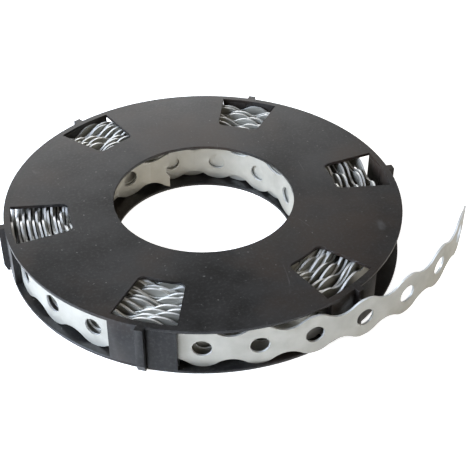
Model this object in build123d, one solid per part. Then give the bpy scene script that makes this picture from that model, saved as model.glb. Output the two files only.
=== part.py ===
"""Wavy perforated steel strap, coiled in a two-part plastic dispenser cassette.

Millimetres, +Z up. The origin is on the cassette's axis, at its underside.
Azimuths are in degrees, anticlockwise from +X. The strap runs anticlockwise
from its inner end to the free end that has been pulled out.
"""

import os
from math import atan, atan2, copysign, cos, degrees, hypot, pi, radians, sin

from build123d import *

# Strap
STRAP_WIDTH = 17.0
STRAP_NECK = 10.5
STRAP_THICKNESS = 0.8
HOLE_DIAMETER = 7.0
HOLE_PITCH = 20.0
CREST_FLAT = 2.0
FLAT_BESIDE_HOLE = 1.0

# Cassette
CASSETTE_DIAMETER = 155.5
CASSETTE_BORE = 71.0
PLATE_THICKNESS = 1.25
STRAP_TO_LID = 0.5

# Windows in both plates
WINDOW_COUNT = 6
WINDOW_TO_BORE = 17.5
WINDOW_HALF_ANGLE = 9.2
WINDOW_ROUNDING = 2.75

# Wall panels as wide as the windows, each split into a half on the lid and a half on the base
PANEL_THICKNESS = 2.45
RIB_WIDTH = 3.0
RIB_STAND_OUT = 2.25
RIB_TAPER_LENGTH = 3.0
RIB_TAPER_DEPTH = 1.2
FIT_GAP = 0.15

# Coil: its turns lie a little to one side of the cassette's axis
COIL_SHIFT = 3.4
COIL_SHIFT_AZIMUTH = 176.0
COIL_TO_PANELS = 5.3
COIL_TO_BORE = 5.0
COIL_RIDGES = 4
COIL_RIDGE_SHARE = 0.3

# Outermost turn: (azimuth, distance out from the coil), then (azimuth, distance past the panels' inner face)
TURN_OFF_COIL = [(-45, -1.0), (-20, 1.6)]
TURN_PAST_PANELS = [(65, -1.8), (130, -1.8), (195, -1.1), (252, -0.5), (285, 3.7), (312, 13.7), (340.9, 27.1)]
OUTER_HEADING = 42.6

# Free end: its last holes climb in an even curve
RISING_HOLES = 5
FREE_END_RISE = 5.6

# Inner end: (azimuth, distance out from the cassette's bore), then (azimuth, distance out from the coil)
END_OFF_BORE = [(100, 0.8), (125, 6.2), (155, 8.7)]
END_INTO_COIL = [(178, -0.1), (205, 1.6)]
INNER_HEADING = 168.0
INNER_END_TO_HOLE = 18.0

# Derived sizes
RIM_RADIUS = CASSETTE_DIAMETER / 2
BORE_RADIUS = CASSETTE_BORE / 2
PANEL_INNER_RADIUS = RIM_RADIUS - PANEL_THICKNESS
PANEL_HALF_ANGLE = WINDOW_HALF_ANGLE
WINDOW_INNER_RADIUS = BORE_RADIUS + WINDOW_TO_BORE
WINDOW_STEP = 360 / WINDOW_COUNT
INSIDE_HEIGHT = STRAP_WIDTH + STRAP_TO_LID
LID_UNDERSIDE = PLATE_THICKNESS + INSIDE_HEIGHT
CASSETTE_HEIGHT = LID_UNDERSIDE + PLATE_THICKNESS
COIL_OUTER_RADIUS = PANEL_INNER_RADIUS - COIL_TO_PANELS
COIL_INNER_RADIUS = BORE_RADIUS + COIL_TO_BORE
STRAP_TOP = PLATE_THICKNESS + STRAP_WIDTH
STRAP_MIDDLE = PLATE_THICKNESS + STRAP_WIDTH / 2
CUTTER_REACH = 2.5
CUTTER_OVERLAP = 0.5


def polar(azimuth, radius):
    return radius * cos(radians(azimuth)), radius * sin(radians(azimuth))


class Route:
    """A line on the floor plan, made of runs of (length, turn in radians), each straight or an arc."""

    def __init__(self, start, heading, runs):
        self.runs = []
        point = start
        for length, turn in runs:
            self.runs.append((point, heading, length, turn))
            point = self.walk(point, heading, length, turn)
            heading += turn
        self.length = sum(length for length, _ in runs)

    @staticmethod
    def walk(point, heading, length, turn):
        chord = 2 * length / turn * sin(turn / 2) if turn else length
        angle = heading + turn / 2
        return point[0] + chord * cos(angle), point[1] + chord * sin(angle)

    def at(self, distance):
        """Point and heading at a distance from the start."""
        for point, heading, length, turn in self.runs:
            part = min(distance, length)
            distance -= part
            if distance <= 0:
                break
        return self.walk(point, heading, part, turn * part / length), heading + turn * part / length


def route_through(stations, heading):
    """Arcs through stations, each tangent to the last."""
    runs = []
    angle = radians(heading)
    for (x0, y0), (x1, y1) in zip(stations, stations[1:]):
        half_turn = (atan2(y1 - y0, x1 - x0) - angle + pi) % (2 * pi) - pi
        runs.append((hypot(x1 - x0, y1 - y0) * half_turn / sin(half_turn), 2 * half_turn))
        angle += 2 * half_turn
    return Route(stations[0], radians(heading), runs)


def bent_at_necks(smooth, holes):
    """The same route, straight beside its holes, with its bends at the necks between them."""
    flat = HOLE_DIAMETER / 2 + FLAT_BESIDE_HOLE
    heading = smooth.at(0)[1]
    runs = []
    done = 0
    for hole in holes:
        new_heading = smooth.at(hole)[1]
        if hole - flat > done:
            runs.append((hole - flat - done, new_heading - heading))
            heading, done = new_heading, hole - flat
        runs.append((hole + flat - done, 0))
        done = hole + flat
    runs.append((smooth.length - done, smooth.at(smooth.length)[1] - heading))
    return Route(smooth.runs[0][0], smooth.at(0)[1], runs)


def place_on(route, distance, rise=0.0, slope=0.0):
    """Plane on a route: x along it, climbing at slope, and z level, away from the coil."""
    point, heading = route.at(distance)
    along = (cos(heading) * cos(slope), sin(heading) * cos(slope), sin(slope))
    return Plane((*point, STRAP_MIDDLE + rise), x_dir=along, z_dir=(sin(heading), -cos(heading), 0))


def band(route, bottom, top):
    """Plain strip of the strap's thickness, standing on edge along a route."""
    sides = []
    for offset in (-STRAP_THICKNESS / 2, STRAP_THICKNESS / 2):
        edges = []
        for (x, y), heading, length, turn in route.runs:
            out = (sin(heading), -cos(heading))
            if turn:
                radius = length / turn
                centre = (x - out[0] * radius, y - out[1] * radius)
                start = degrees(heading) - copysign(90, turn)
                edges.append(CenterArc(centre, abs(radius + offset), start, degrees(turn)))
            else:
                start = (x + out[0] * offset, y + out[1] * offset)
                edges.append(Line(start, Route.walk(start, heading, length, 0)))
        sides.append(edges)
    ends = [Line(sides[0][0] @ 0, sides[1][0] @ 0), Line(sides[0][-1] @ 1, sides[1][-1] @ 1)]
    outline = make_face(Curve() + sides[0] + sides[1] + ends)
    return Pos(0, 0, bottom) * extrude(outline, top - bottom)


def scallop_cutter(shoulder, reach):
    """Cuts the hollows of both edges between two holes, and shoulder more of the flat crests beside them."""
    half_width, half_neck, half_flat = STRAP_WIDTH / 2, STRAP_NECK / 2, CREST_FLAT / 2
    crest = hypot(half_width, half_flat)
    hollow = ((HOLE_PITCH / 2) ** 2 + half_neck**2 - crest**2) / (2 * (crest - half_neck))
    share = crest / (crest + hollow)
    meet_x, meet_y = HOLE_PITCH / 2 * (1 - share), (half_neck + hollow) * share
    lean = (atan2(HOLE_PITCH / 2, half_neck + hollow) + atan2(half_flat, half_width)) / 2
    crest_x, crest_y = HOLE_PITCH / 2 - crest * sin(lean), crest * cos(lean)
    start = HOLE_PITCH / 2 - half_flat
    outline = Curve() + [
        ThreePointArc((-start, half_width), (-crest_x, crest_y), (-meet_x, meet_y)),
        ThreePointArc((-meet_x, meet_y), (0, half_neck), (meet_x, meet_y)),
        ThreePointArc((meet_x, meet_y), (crest_x, crest_y), (start, half_width)),
        Line((start, half_width), (-start, half_width)),
    ]
    trim = Rectangle(2 * (start + shoulder), reach, align=(Align.CENTER, Align.MIN))
    upper = make_face(outline) + Pos(0, half_width) * trim
    return extrude(upper + mirror(upper, Plane.XZ), CUTTER_REACH, both=True)


def hole_cutter():
    return Cylinder(HOLE_DIAMETER / 2, 2 * CUTTER_REACH)


def level_strap(route, holes):
    """Strap on edge on the base plate: a band with its holes and its scalloped edges cut."""
    scallop = scallop_cutter(0, CUTTER_REACH)
    middles = [holes[0] - HOLE_PITCH / 2] + [hole + HOLE_PITCH / 2 for hole in holes]
    cutters = [place_on(route, hole) * hole_cutter() for hole in holes]
    cutters += [place_on(route, middle) * scallop for middle in middles if 0 <= middle <= route.length]
    return band(route, PLATE_THICKNESS, STRAP_TOP) - cutters


def coil_wall(azimuth, radius):
    """Distance from the cassette's axis to a wall of the shifted coil."""
    return radius + COIL_SHIFT * cos(radians(azimuth - COIL_SHIFT_AZIMUTH))


def outer_stations():
    stations = [polar(a, coil_wall(a, COIL_OUTER_RADIUS) + out) for a, out in TURN_OFF_COIL]
    return stations + [polar(a, PANEL_INNER_RADIUS + out) for a, out in TURN_PAST_PANELS]


def inner_stations():
    stations = [polar(a, BORE_RADIUS + out) for a, out in END_OFF_BORE]
    return stations + [polar(a, coil_wall(a, COIL_INNER_RADIUS) + out) for a, out in END_INTO_COIL]


def outer_route():
    """(route, hole distances) of the outermost turn and the free end, which is cut at a neck."""
    smooth = route_through(outer_stations(), OUTER_HEADING)
    last = smooth.length - HOLE_PITCH / 2
    count = int((last - HOLE_DIAMETER / 2) // HOLE_PITCH) + 1
    holes = [last - HOLE_PITCH * (count - 1 - i) for i in range(count)]
    return bent_at_necks(smooth, holes), holes


def inner_route():
    """(route, hole distances) of the inner end, which is cut through the edge of a hole."""
    smooth = route_through(inner_stations(), INNER_HEADING)
    count = int((smooth.length - INNER_END_TO_HOLE - HOLE_DIAMETER / 2) // HOLE_PITCH) + 1
    holes = [INNER_END_TO_HOLE + HOLE_PITCH * i for i in range(-1, count)]
    return bent_at_necks(smooth, holes), holes


def free_end_climb(route, distance):
    """(rise, slope) of the strap at a distance along the outer route."""
    rising = HOLE_PITCH * RISING_HOLES
    part = max(0.0, distance - (route.length - rising)) / rising
    return FREE_END_RISE * part**2, atan(2 * FREE_END_RISE * part / rising)


def split_route(route, distance):
    """The routes before and after a distance."""
    first, second = [], []
    for _, _, length, turn in route.runs:
        near = min(max(distance, 0), length)
        distance -= length
        first.append((near, turn * near / length))
        second.append((length - near, turn * (length - near) / length))
    start, heading = route.at(0)
    joint, joint_heading = route.at(sum(length for length, _ in first))
    return (
        Route(start, heading, [run for run in first if run[0] > 1e-6]),
        Route(joint, joint_heading, [run for run in second if run[0] > 1e-6]),
    )


def outer_turn_and_free_end():
    route, holes = outer_route()
    rising = HOLE_PITCH * RISING_HOLES
    level_part, rising_part = split_route(route, route.length - rising)
    level_holes = holes[:-RISING_HOLES]
    turn = level_strap(level_part, level_holes)
    spare = FREE_END_RISE + CUTTER_OVERLAP
    strip = band(rising_part, PLATE_THICKNESS - CUTTER_OVERLAP, STRAP_TOP + spare)
    scallop = scallop_cutter(CREST_FLAT / 2 + CUTTER_OVERLAP, spare + CUTTER_OVERLAP)
    cutters = []
    for hole in holes[-RISING_HOLES:]:
        cutters.append(place_on(route, hole, *free_end_climb(route, hole)) * hole_cutter())
    for i in range(RISING_HOLES + 1):
        middle = route.length - HOLE_PITCH * i
        cutters.append(place_on(route, middle, *free_end_climb(route, middle)) * scallop)
    return turn + (strip - cutters)


def coil():
    """Wound turns as one turned solid. Its ends are ridged between the heights of the strap's crests and necks."""
    step = (COIL_OUTER_RADIUS - COIL_INNER_RADIUS) / COIL_RIDGES / 2
    hollow = (STRAP_WIDTH - STRAP_NECK) / 2
    heights = [STRAP_WIDTH / 2 - hollow * share for share in (COIL_RIDGE_SHARE, 1 - COIL_RIDGE_SHARE)]
    profile = [(COIL_INNER_RADIUS + step * i, heights[i % 2]) for i in range(2 * COIL_RIDGES + 1)]
    over = [(radius, STRAP_MIDDLE + height) for radius, height in profile]
    under = [(radius, STRAP_MIDDLE - height) for radius, height in profile]
    outline = Polyline(*over, *reversed(under), close=True)
    turned = revolve(Plane.XZ * make_face(outline), Axis.Z)
    return Pos(*polar(COIL_SHIFT_AZIMUTH, COIL_SHIFT)) * turned


def perforated_strap():
    return coil() + outer_turn_and_free_end() + level_strap(*inner_route())


def ring_sector(inner, outer, start, end):
    """Flat sector of a ring between two radii and two azimuths."""
    arcs = [CenterArc((0, 0), radius, start, end - start) for radius in (inner, outer)]
    sides = [Line(polar(azimuth, inner), polar(azimuth, outer)) for azimuth in (start, end)]
    return make_face(Curve() + arcs + sides)


def window():
    outline = ring_sector(WINDOW_INNER_RADIUS, PANEL_INNER_RADIUS, -WINDOW_HALF_ANGLE, WINDOW_HALF_ANGLE)
    corners = outline.vertices().sort_by(lambda corner: hypot(corner.X, corner.Y))
    return fillet(corners[:2], WINDOW_ROUNDING)


def plate():
    """Ring plate with a window over each wall panel, underside at z = 0."""
    disc = Circle(RIM_RADIUS) - Circle(BORE_RADIUS)
    for i in range(WINDOW_COUNT):
        disc -= Rot(0, 0, WINDOW_STEP * i) * window()
    return extrude(disc, PLATE_THICKNESS)


def half_panel(start, end):
    sector = ring_sector(PANEL_INNER_RADIUS, RIM_RADIUS, start, end)
    return Pos(0, 0, PLATE_THICKNESS) * extrude(sector, INSIDE_HEIGHT)


def degrees_at_rim(length):
    return degrees(length / RIM_RADIUS)


def rib():
    """Upright rib on the outside of a panel, tapered at its foot, as tall as the cassette."""
    inner, outer = RIM_RADIUS - PANEL_THICKNESS / 2, RIM_RADIUS + RIB_STAND_OUT
    profile = Polyline(
        (inner, 0), (outer - RIB_TAPER_DEPTH, 0), (outer, RIB_TAPER_LENGTH),
        (outer, CASSETTE_HEIGHT), (inner, CASSETTE_HEIGHT), close=True,
    )
    upright = extrude(Plane.XZ * make_face(profile), RIB_WIDTH / 2, both=True)
    below = (Align.CENTER, Align.CENTER, Align.MIN)
    return upright - Cylinder(RIM_RADIUS + FIT_GAP, PLATE_THICKNESS, align=below)


def cassette_base():
    body = plate()
    seam = degrees_at_rim(RIB_WIDTH / 2 + FIT_GAP)
    for i in range(WINDOW_COUNT):
        body += Rot(0, 0, WINDOW_STEP * i) * half_panel(seam, PANEL_HALF_ANGLE)
    return body


def cassette_lid():
    body = Pos(0, 0, LID_UNDERSIDE) * plate()
    edge = degrees_at_rim(RIB_WIDTH / 2)
    for i in range(WINDOW_COUNT):
        body += Rot(0, 0, WINDOW_STEP * i) * (half_panel(-PANEL_HALF_ANGLE, edge) + rib())
    return body


NODES = {
    "cassette_base": cassette_base,
    "cassette_lid": cassette_lid,
    "perforated_strap": perforated_strap,
}


def main():
    os.makedirs("parts", exist_ok=True)
    for name, build in NODES.items():
        export_step(build(), f"parts/{name}.step")


if __name__ == "__main__":
    main()
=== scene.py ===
"""Looks of the perforated strap in its dispenser cassette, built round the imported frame.

Plan sizes are in millimetres and degrees, as in the part's source, and become metres in the meshes.
"""

import math

import bmesh
import bpy
import numpy as np
from mathutils import Matrix, Vector


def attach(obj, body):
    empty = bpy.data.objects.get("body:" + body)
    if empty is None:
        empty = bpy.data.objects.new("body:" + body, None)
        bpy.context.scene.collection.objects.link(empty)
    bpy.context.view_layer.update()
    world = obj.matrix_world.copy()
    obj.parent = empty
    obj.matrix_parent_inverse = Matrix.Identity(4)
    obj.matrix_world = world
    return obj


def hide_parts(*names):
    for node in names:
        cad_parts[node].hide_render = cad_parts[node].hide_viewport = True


MM = 0.001

# Strap
STRAP_WIDTH = 17.0
STRAP_NECK = 10.5
STRAP_THICKNESS = 0.8
HOLE_RADIUS = 3.5
HOLE_PITCH = 20.0
CREST_FLAT = 2.0
INNER_END_PAST_HOLE = 2.0
FREE_END_RISE = 5.6
RISING_LENGTH = 100.0

# Turns lie a little above the base plate, in slow waves along the strap that fade out towards both ends
TURN_LIFT = 0.35
LONG_WAVE = 171
SHORT_WAVE = 67
SHORT_WAVE_START = 1.3
FADE_AT_FREE_END = 400
FADE_ENDS_AT = 0.25
FADE_AT_INNER_END = 200

# Cassette
PLATE_THICKNESS = 1.25
PANEL_INNER_RADIUS = 75.3
BORE_RADIUS = 35.5
EDGE_ROUNDING = 0.25

# Inner end and innermost turn: (azimuth, distance out from the bore)
INNER_TURN = [
    (100, 0.8), (125, 6.2), (155, 8.7), (180, 9.2), (225, 9.5), (270, 7.7), (315, 4.7),
    (345, 2.0), (360, 1.0), (396, 2.1), (429, 4.5), (455, 5.7), (485, 7.5), (510, 9.4), (530, 10.7),
]
# Outermost turn and free end: (azimuth, distance out from the panels' inner face)
OUTER_TURN = [
    (-108, -3.5), (-92, -4.6), (-72, -2.3), (-62, -3.3), (-45, -5.5), (-20, -6.6), (-5, -6.0), (25, -3.6),
    (50, -1.6), (68, -0.6), (90, 0.8), (103, 0.9), (112, -0.5), (128, -0.5), (145, 0.9), (159, 1.2),
    (170, -0.5), (189, -0.6), (215, -1.0), (240, -0.85), (252, -0.6), (255.2, -0.4), (270.4, 0.6),
    (285.1, 3.2), (299, 7.6), (311.9, 13.1), (323.9, 18.9), (335.3, 24.3), (340.9, 26.7),
]
# Azimuths at which the counted laps begin and end
SEAM = 170
LEAVES_COIL = 252
LAPS = 27
# Where the winding changes from close to loose, on each side: (share of the laps, share of the width)
LEFT_KNEE = (0.37, 0.30)
RIGHT_KNEE = (0.74, 0.567)
LOOSEST_AZIMUTH = -20
TIGHTEST_SPACING = 0.86
BUNCHING = 2.4
SMOOTHING = 9

# Detail of the meshes
WAVE_STEPS = 14
SIDE_STEPS = 4
SHARP_FROM_DEGREES = 35
ROUNDED_FROM_DEGREES = 40

# Camera: the photograph's view, which aims beside the cassette's middle
CAMERA_AZIMUTH = -13.5
CAMERA_DISTANCE = 325.43
CAMERA_HEIGHT = 253.62
CAMERA_DOWN = 36.82
CAMERA_PAN = -1.725
CAMERA_NOD = -1.100
CAMERA_ROLL = -0.854
CAMERA_LENS = 77.80

# Floor, in metres, and its glow, which stops in the ring that the cassette shades, as painted shade there,
# and is stronger in the bore, as painted light
FLOOR_SIZE = 6.0
FLOOR_DROP = 0.0002
FLOOR_COLOUR = 0.9
FLOOR_GLOW = 0.86
# Stronger glows in the bore than outside: painted light on the floor seen there and on the turns that
# reflect it
BORE_PAINTED_GLOW = 0.95
FLOOR_GLOW_IN_METAL = 0.35
BORE_PAINTED_GLOW_IN_METAL = 0.8
GLOW_IN_METAL_COLOUR = (1.0, 0.93, 0.82)
SHADED_FROM = 36.0
SHADED_TO = 77.0
GLOW_RAMP_LENGTH = 100

# Lamps that face the cassette: (name, place and size in metres, watts, colour)
LAMPS = [
    ("window", (-0.74, -0.13, 0.30), (0.45, 0.6), 18.4, (0.77, 0.885, 1.07)),
    ("back", (-0.21, 0.80, 0.34), (1.6, 0.3), 6.2, (1.0, 1.0, 1.0)),
    ("fill", (0.65, -0.55, 0.45), (1.6, 0.8), 3.8, (1.0, 0.91, 0.78)),
]


def inner_radius(azimuth):
    table = np.array(INNER_TURN)
    return BORE_RADIUS + np.interp(azimuth, table[:, 0], table[:, 1])


def outer_radius(azimuth):
    table = np.array(OUTER_TURN)
    return PANEL_INNER_RADIUS + np.interp(azimuth, table[:, 0], table[:, 1])


def knee(azimuth):
    """(share of the laps, share of the coil's width) at which the winding changes, at an azimuth."""
    left = (1 - np.cos(np.radians(azimuth - LOOSEST_AZIMUTH))) / 2
    return [right + (other - right) * left for right, other in zip(RIGHT_KNEE, LEFT_KNEE)]


def width_share(azimuth, laps_share):
    laps_knee, width_knee = knee(azimuth)
    beyond = width_knee + (laps_share - laps_knee) * (1 - width_knee) / (1 - laps_knee)
    return np.where(laps_share < laps_knee, laps_share * width_knee / laps_knee, beyond)


def laps_share(azimuth, share):
    """The inverse of width_share."""
    laps_knee, width_knee = knee(azimuth)
    beyond = laps_knee + (share - width_knee) * (1 - laps_knee) / (1 - width_knee)
    return np.where(share < width_knee, share * laps_knee / width_knee, beyond)


def share_at(azimuth, radius):
    """Share of the laps at which the winding reaches a radius, at an azimuth."""
    low = inner_radius(SEAM + (azimuth - SEAM) % 360)
    high = outer_radius(LEAVES_COIL - (LEAVES_COIL - azimuth) % 360)
    return laps_share(azimuth, (radius - low) / (high - low))


def coil_share(azimuth):
    """Share of the winding done, from 0 to 1, at an azimuth counted on from lap to lap."""
    after_first = share_at(SEAM, inner_radius(SEAM + 360))
    before_last = share_at(LEAVES_COIL, outer_radius(LEAVES_COIL - 360))
    lap = (azimuth - SEAM) / 360
    last = LAPS + (LEAVES_COIL - SEAM) / 360
    return np.interp(lap, [0, 1, last - 1, last], [0, after_first, before_last, 1])


def bunching(azimuth, width):
    """How far a loose turn leans towards its neighbour, which makes uneven bunches."""
    laps_knee, width_knee = knee(azimuth)
    spacing = width * (1 - width_knee) / (1 - laps_knee) / LAPS
    lap = (azimuth - SEAM) / 360
    last = LAPS + (LEAVES_COIL - SEAM) / 360
    loose = np.clip((coil_share(azimuth) - laps_knee) * LAPS, 0, 1) * np.clip(last - 1 - lap, 0, 1)
    return loose * (spacing - TIGHTEST_SPACING) * 0.5 * np.sin(BUNCHING * lap)


def plan_radius(azimuth):
    """Radius of the strap's middle at azimuths counted on from its inner end to its free end."""
    leaves = LEAVES_COIL + 360 * LAPS
    first = SEAM + (azimuth - SEAM) % 360
    last = leaves - (leaves - azimuth) % 360
    inner, outer = inner_radius(first), outer_radius(last - 360 * LAPS)
    low, here, high = (width_share(azimuth, coil_share(place)) for place in (first, azimuth, last))
    wound = inner + (outer - inner) * (here - low) / (high - low) + bunching(azimuth, outer - inner)
    wound = np.where(azimuth < SEAM, inner_radius(azimuth), wound)
    return np.where(azimuth > leaves, outer_radius(azimuth - 360 * LAPS), wound)


def smoothed(values):
    weights = np.hanning(2 * SMOOTHING + 3)[1:-1]
    before = 2 * values[0] - values[SMOOTHING:0:-1]
    after = 2 * values[-1] - values[-2:-SMOOTHING - 2:-1]
    return np.convolve(np.concatenate([before, values, after]), weights / weights.sum(), "valid")


def strap_plan():
    """Distances from the inner end, with the plan points and headings there."""
    start, end = INNER_TURN[0][0], OUTER_TURN[-1][0] + 360 * LAPS
    azimuth = np.linspace(start, end, int(end - start) + 1)
    radius = smoothed(plan_radius(azimuth))
    angle = np.radians(azimuth)
    points = np.stack([radius * np.cos(angle), radius * np.sin(angle)], 1)
    steps = np.diff(points, axis=0)
    distance = np.concatenate([[0], np.cumsum(np.linalg.norm(steps, axis=1))])
    along = np.gradient(points, distance, axis=0)
    return distance, points, np.unwrap(np.arctan2(along[:, 1], along[:, 0]))


def edge_height(u):
    """Half the strap's width at u along it from a hole, on a crest arc or on the hollow arc beside it."""
    half_neck, half_pitch, u = STRAP_NECK / 2, HOLE_PITCH / 2, abs(u)
    crest = math.hypot(STRAP_WIDTH, CREST_FLAT) / 2
    hollow = (half_pitch**2 + half_neck**2 - crest**2) / (2 * (crest - half_neck))
    if u < CREST_FLAT / 2:
        return STRAP_WIDTH / 2
    if u < half_pitch * crest / (crest + hollow):
        return math.sqrt(crest**2 - u**2)
    return half_neck + hollow - math.sqrt(hollow**2 - (half_pitch - u) ** 2)


def one_pitch(cut=None):
    """Two matching rings of (along, up) points round one pitch: its outline and its hole.

    A cut leaves what lies beyond that distance past the hole's middle, and the rings are open there.
    """
    half = HOLE_PITCH / 2
    outline = []
    for i in range(WAVE_STEPS + 1):
        u = HOLE_PITCH * i / WAVE_STEPS - half
        outline += [(u, edge_height(u)), (u, -edge_height(u))]
    for i in range(1, SIDE_STEPS):
        v = STRAP_NECK * i / SIDE_STEPS - STRAP_NECK / 2
        outline += [(half, v), (-half, v)]
    widest = math.pi
    if cut is not None:
        outline = [(u, v) for u, v in outline if u > cut]
        outline += [(cut, edge_height(cut)), (cut, -edge_height(cut))]
        widest = math.acos(cut / HOLE_RADIUS)
    outline.sort(key=lambda p: math.atan2(p[1], p[0]))
    angles = [max(-widest, min(widest, math.atan2(v, u))) for u, v in outline]
    hole = [(HOLE_RADIUS * math.cos(a), HOLE_RADIUS * math.sin(a)) for a in angles]
    return outline, hole


def strap_mesh():
    """(vertices in metres, faces, edge faces) of the whole strap."""
    distance, points, heading = strap_plan()
    length = distance[-1]
    pitches = round((length + INNER_END_PAST_HOLE - HOLE_PITCH / 2) / HOLE_PITCH)
    pitch = (length + INNER_END_PAST_HOLE - HOLE_PITCH / 2) / pitches
    verts, sides, edges = [], [], []
    for index in range(pitches + 1):
        outline, hole = one_pitch(INNER_END_PAST_HOLE if index == 0 else None)
        flat = np.array(outline + hole)
        count, base = len(outline), sum(len(side) for side in verts)
        along = np.clip(pitch * index - INNER_END_PAST_HOLE + flat[:, 0], 0, length)
        turn = np.interp(along, distance, heading)
        out = np.stack([np.sin(turn), -np.cos(turn)], 1)
        plan = np.stack([np.interp(along, distance, points[:, axis]) for axis in (0, 1)], 1)
        rise = FREE_END_RISE * np.clip(1 - (length - along) / RISING_LENGTH, 0, 1) ** 2
        fade = np.clip((length - along) / FADE_AT_FREE_END - FADE_ENDS_AT, 0, 1)
        fade = fade * np.clip(along / FADE_AT_INNER_END, 0, 1)
        waves = 0.5 + 0.3 * np.sin(along / LONG_WAVE) + 0.2 * np.sin(along / SHORT_WAVE + SHORT_WAVE_START)
        lift = TURN_LIFT * fade * waves
        height = PLATE_THICKNESS + STRAP_WIDTH / 2 + flat[:, 1] + rise + lift
        for side in (0.5, -0.5):
            verts.append(np.column_stack([plan + out * STRAP_THICKNESS * side, height]) * MM)
        other = 2 * count
        for i in range(count if index else count - 1):
            j = (i + 1) % count
            a, b, c, d = base + i, base + j, base + count + j, base + count + i
            sides += [(a, b, c, d), (b + other, a + other, d + other, c + other)]
            edges.append((d, c, c + other, d + other))
            at_neck = flat[i, 0] == flat[j, 0] and abs(flat[i, 0]) == HOLE_PITCH / 2
            if not at_neck or (index == pitches and flat[i, 0] > 0):
                edges.append((b, a, a + other, b + other))
        if index == 0:
            for outer, inner in ((base, base + count), (base + 2 * count - 1, base + count - 1)):
                edges.append((outer, inner, inner + other, outer + other))
    return np.concatenate(verts), sides, edges


def mesh_object(name, verts, faces, edge_faces, materials):
    """A mesh whose faces have the first material and whose edge faces have the second."""
    mesh = bpy.data.meshes.new(name)
    mesh.from_pydata([tuple(v) for v in verts], [], list(faces) + list(edge_faces))
    for material in materials:
        mesh.materials.append(material)
    mesh.polygons.foreach_set("material_index", [0] * len(faces) + [1] * len(edge_faces))
    work = bmesh.new()
    work.from_mesh(mesh)
    bmesh.ops.remove_doubles(work, verts=work.verts, dist=1e-7)
    bmesh.ops.recalc_face_normals(work, faces=work.faces)
    work.to_mesh(mesh)
    work.free()
    mesh.shade_smooth()
    mesh.set_sharp_from_angle(angle=math.radians(SHARP_FROM_DEGREES))
    made = bpy.data.objects.new(name, mesh)
    bpy.context.scene.collection.objects.link(made)
    return made


# Materials

def new_material(name):
    material = bpy.data.materials.new(name)
    material.use_nodes = True
    nodes, links = material.node_tree.nodes, material.node_tree.links
    return material, nodes, links, nodes["Principled BSDF"]


def ramp(nodes, links, source, stops):
    """Colour for a value, from stops of (value, grey or colour)."""
    made = nodes.new("ShaderNodeValToRGB")
    while len(made.color_ramp.elements) < len(stops):
        made.color_ramp.elements.new(0.5)
    for element, (place, value) in zip(made.color_ramp.elements, stops):
        element.position = place
        element.color = (*value, 1) if isinstance(value, tuple) else (value, value, value, 1)
    links.new(source, made.inputs["Fac"])
    return made.outputs["Color"]


def noise(nodes, links, scale, detail, stretch=(1, 1, 1), roughness=0.5):
    place = nodes.new("ShaderNodeTexCoord")
    mapping = nodes.new("ShaderNodeMapping")
    mapping.inputs["Scale"].default_value = stretch
    made = nodes.new("ShaderNodeTexNoise")
    made.inputs["Scale"].default_value = scale
    made.inputs["Detail"].default_value = detail
    made.inputs["Roughness"].default_value = roughness
    links.new(place.outputs["Object"], mapping.inputs["Vector"])
    links.new(mapping.outputs["Vector"], made.inputs["Vector"])
    return made.outputs["Fac"]


def mixed(nodes, links, factor, first, second):
    """Colour that goes from one to another, which are sockets or plain colours."""
    made = nodes.new("ShaderNodeMix")
    made.data_type = "RGBA"
    links.new(factor, made.inputs["Factor"])
    for place, value in ((6, first), (7, second)):
        if isinstance(value, tuple):
            made.inputs[place].default_value = (*value, 1)
        else:
            links.new(value, made.inputs[place])
    return made.outputs[2]


def product(nodes, links, first, second):
    """Product of a socket and another socket or a number."""
    made = nodes.new("ShaderNodeMath")
    made.operation = "MULTIPLY"
    links.new(first, made.inputs[0])
    if isinstance(second, float):
        made.inputs[1].default_value = second
    else:
        links.new(second, made.inputs[1])
    return made.outputs[0]


def plastic():
    """Black moulded plastic, clouded and brownish in places, with dust and fine scratches."""
    material, nodes, links, shader = new_material("black_plastic")
    shader.inputs["Specular IOR Level"].default_value = 0.32
    shades = [(0.38, (0.0030, 0.0030, 0.0032)), (0.62, (0.0165, 0.0160, 0.0160))]
    cloud = ramp(nodes, links, noise(nodes, links, 40, 6, roughness=0.65), shades)
    stain = ramp(nodes, links, noise(nodes, links, 27, 5), [(0.5, 0.0), (0.68, 1.0)])
    colour = mixed(nodes, links, stain, cloud, (0.022, 0.0145, 0.0105))
    grain = ramp(nodes, links, noise(nodes, links, 900, 2), [(0.5, 0.0), (0.75, 0.7)])
    colour = mixed(nodes, links, grain, colour, (0.03, 0.029, 0.028))
    dust = ramp(nodes, links, noise(nodes, links, 640, 1), [(0.75, 0.0), (0.79, 1.0)])
    facing = nodes.new("ShaderNodeNewGeometry")
    split = nodes.new("ShaderNodeSeparateXYZ")
    links.new(facing.outputs["Normal"], split.inputs["Vector"])
    settled = product(nodes, links, dust, split.outputs["Z"])
    colour = mixed(nodes, links, settled, colour, (0.10, 0.097, 0.09))
    wavering = noise(nodes, links, 34, 1, (1, 0.25, 1))
    line = ramp(nodes, links, wavering, [(0.496, 0.0), (0.5, 1.0), (0.504, 0.0)])
    patch = ramp(nodes, links, noise(nodes, links, 48, 3), [(0.6, 0.0), (0.66, 1.0)])
    scratch = product(nodes, links, line, patch)
    links.new(mixed(nodes, links, scratch, colour, (0.05, 0.048, 0.046)), shader.inputs["Base Color"])
    gloss = ramp(nodes, links, noise(nodes, links, 33, 3), [(0.35, 0.28), (0.65, 0.39)])
    links.new(gloss, shader.inputs["Roughness"])
    return material


def zinc(name, metallic, dark, light, smoothest, roughest):
    """Galvanised steel, a little uneven in colour and gloss."""
    material, nodes, links, shader = new_material(name)
    shader.inputs["Metallic"].default_value = metallic
    spangle = ramp(nodes, links, noise(nodes, links, 120, 4), [(0.3, dark), (0.7, light)])
    links.new(spangle, shader.inputs["Base Color"])
    wear = ramp(nodes, links, noise(nodes, links, 300, 3), [(0.3, smoothest), (0.7, roughest)])
    links.new(wear, shader.inputs["Roughness"])
    return material


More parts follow.
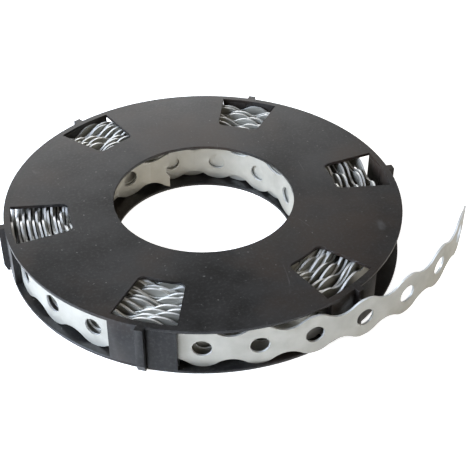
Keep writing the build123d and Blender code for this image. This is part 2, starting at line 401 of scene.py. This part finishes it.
def glow_with_painted_shade(nodes, links, ray, painted_bore_glow, outside):
    """Glow that one kind of ray sees: stronger in the bore, which is painted light, plain outside the
    cassette, and none under its ring, which is painted shade.
    """
    place = nodes.new("ShaderNodeTexCoord")
    reach = nodes.new("ShaderNodeVectorMath")
    reach.operation = "LENGTH"
    links.new(place.outputs["Object"], reach.inputs[0])
    share = product(nodes, links, reach.outputs["Value"], 1 / (GLOW_RAMP_LENGTH * MM))
    first, last = SHADED_FROM / GLOW_RAMP_LENGTH, SHADED_TO / GLOW_RAMP_LENGTH
    # No glow between SHADED_FROM and SHADED_TO is painted shade under the ring; the level in the bore is
    # painted light
    stops = [(first, painted_bore_glow), (first + 0.02, 0.0), (last, 0.0), (last + 0.005, outside)]
    return product(nodes, links, ramp(nodes, links, share, stops), ray)


def make_floor():
    """Pale floor that reads white to the camera and in reflections, and keeps a soft shadow; its glow is
    painted shade under the cassette's ring and painted light in the bore.
    """
    bpy.ops.mesh.primitive_plane_add(size=FLOOR_SIZE, location=(0, 0, -FLOOR_DROP))
    floor = bpy.context.object
    floor.name = "floor"
    material, nodes, links, shader = new_material("floor")
    shader.inputs["Base Color"].default_value = (FLOOR_COLOUR, FLOOR_COLOUR, FLOOR_COLOUR, 1)
    shader.inputs["Roughness"].default_value = 0.9
    path = nodes.new("ShaderNodeLightPath")
    glows = [
        ("Is Camera Ray", BORE_PAINTED_GLOW, FLOOR_GLOW, (1, 1, 1)),
        ("Is Glossy Ray", BORE_PAINTED_GLOW_IN_METAL, FLOOR_GLOW_IN_METAL, GLOW_IN_METAL_COLOUR),
    ]
    whole = shader.outputs["BSDF"]
    for ray, painted_bore_glow, outside, colour in glows:
        glow = nodes.new("ShaderNodeEmission")
        glow.inputs["Color"].default_value = (*colour, 1)
        links.new(glow_with_painted_shade(nodes, links, path.outputs[ray], painted_bore_glow, outside), glow.inputs["Strength"])
        both = nodes.new("ShaderNodeAddShader")
        links.new(whole, both.inputs[0])
        links.new(glow.outputs["Emission"], both.inputs[1])
        whole = both.outputs["Shader"]
    links.new(whole, nodes["Material Output"].inputs["Surface"])
    floor.data.materials.append(material)


def make_world():
    """Dim warm room, white to the camera."""
    world = bpy.data.worlds.new("studio")
    bpy.context.scene.world = world
    world.use_nodes = True
    nodes, links = world.node_tree.nodes, world.node_tree.links
    path = nodes.new("ShaderNodeLightPath")
    room = nodes["Background"]
    white = nodes.new("ShaderNodeBackground")
    white.inputs["Color"].default_value = (1, 1, 1, 1)
    white.inputs["Strength"].default_value = 1.0
    place = nodes.new("ShaderNodeTexCoord")
    split = nodes.new("ShaderNodeSeparateXYZ")
    links.new(place.outputs["Generated"], split.inputs["Vector"])
    heights = [(0.0, (0.50, 0.48, 0.44)), (0.55, (0.34, 0.33, 0.31)), (0.8, (0.17, 0.17, 0.175))]
    links.new(ramp(nodes, links, split.outputs["Z"], heights), room.inputs["Color"])
    room.inputs["Strength"].default_value = 0.65
    mix = nodes.new("ShaderNodeMixShader")
    links.new(path.outputs["Is Camera Ray"], mix.inputs["Fac"])
    links.new(room.outputs["Background"], mix.inputs[1])
    links.new(white.outputs["Background"], mix.inputs[2])
    links.new(mix.outputs["Shader"], nodes["World Output"].inputs["Surface"])


def area_light(name, place, size, watts, colour):
    data = bpy.data.lights.new(name, "AREA")
    data.shape = "RECTANGLE"
    data.size, data.size_y = size
    data.energy = watts
    data.color = colour
    light = bpy.data.objects.new(name, data)
    bpy.context.scene.collection.objects.link(light)
    light.location = place
    light.rotation_mode = "QUATERNION"
    light.rotation_quaternion = (-Vector(place)).to_track_quat("-Z", "Y")


def make_camera():
    data = bpy.data.cameras.new("camera")
    data.lens = CAMERA_LENS
    data.sensor_width = 36
    data.clip_start, data.clip_end = 0.01, 20
    camera = bpy.data.objects.new("camera", data)
    bpy.context.scene.collection.objects.link(camera)
    bpy.context.scene.camera = camera
    azimuth = math.radians(CAMERA_AZIMUTH)
    reach = CAMERA_DISTANCE * MM
    place = Vector((math.sin(azimuth) * reach, -math.cos(azimuth) * reach, CAMERA_HEIGHT * MM))
    aim = Matrix.Rotation(azimuth, 4, "Z") @ Matrix.Rotation(math.radians(90 - CAMERA_DOWN), 4, "X")
    for angle, axis in ((CAMERA_PAN, "Y"), (CAMERA_NOD, "X"), (CAMERA_ROLL, "Z")):
        aim = aim @ Matrix.Rotation(math.radians(angle), 4, axis)
    camera.matrix_world = Matrix.Translation(place) @ aim


def soften_edges(node):
    """Small roundings on a moulded piece, made by modifiers so that its mesh stays as it is."""
    weld = node.modifiers.new("weld", "WELD")
    weld.merge_threshold = 1e-6
    bevel = node.modifiers.new("rounding", "BEVEL")
    bevel.width = EDGE_ROUNDING * MM
    bevel.segments = 2
    bevel.limit_method = "ANGLE"
    bevel.angle_limit = math.radians(ROUNDED_FROM_DEGREES)
    bevel.harden_normals = True


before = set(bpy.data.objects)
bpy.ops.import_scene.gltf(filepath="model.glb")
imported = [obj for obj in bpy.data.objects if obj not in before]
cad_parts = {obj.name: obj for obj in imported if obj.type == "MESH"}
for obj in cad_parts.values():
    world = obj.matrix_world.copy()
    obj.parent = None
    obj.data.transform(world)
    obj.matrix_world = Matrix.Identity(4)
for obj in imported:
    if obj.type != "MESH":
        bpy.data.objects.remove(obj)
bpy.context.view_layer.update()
bpy.context.scene.view_settings.view_transform = "Standard"

black = plastic()
steel = zinc("zinc_steel", 0.7, (0.385, 0.375, 0.335), (0.475, 0.465, 0.42), 0.40, 0.54)
# Lighter, less metallic steel on the cut edges: a painted highlight along them
cut_steel_painted_highlight = zinc("zinc_steel_cut_painted_highlight", 0.5, (0.62, 0.62, 0.60), (0.78, 0.78, 0.76), 0.42, 0.55)

for name in ("cassette_base", "cassette_lid"):
    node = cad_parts[name]
    node.data.materials.clear()
    node.data.materials.append(black)
    soften_edges(node)

verts, sides, edges = strap_mesh()
strap = mesh_object("steel_strap", verts, sides, edges, [steel, cut_steel_painted_highlight])
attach(strap, "root")
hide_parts("perforated_strap")

make_floor()
make_world()
for lamp in LAMPS:
    area_light(*lamp)
make_camera()
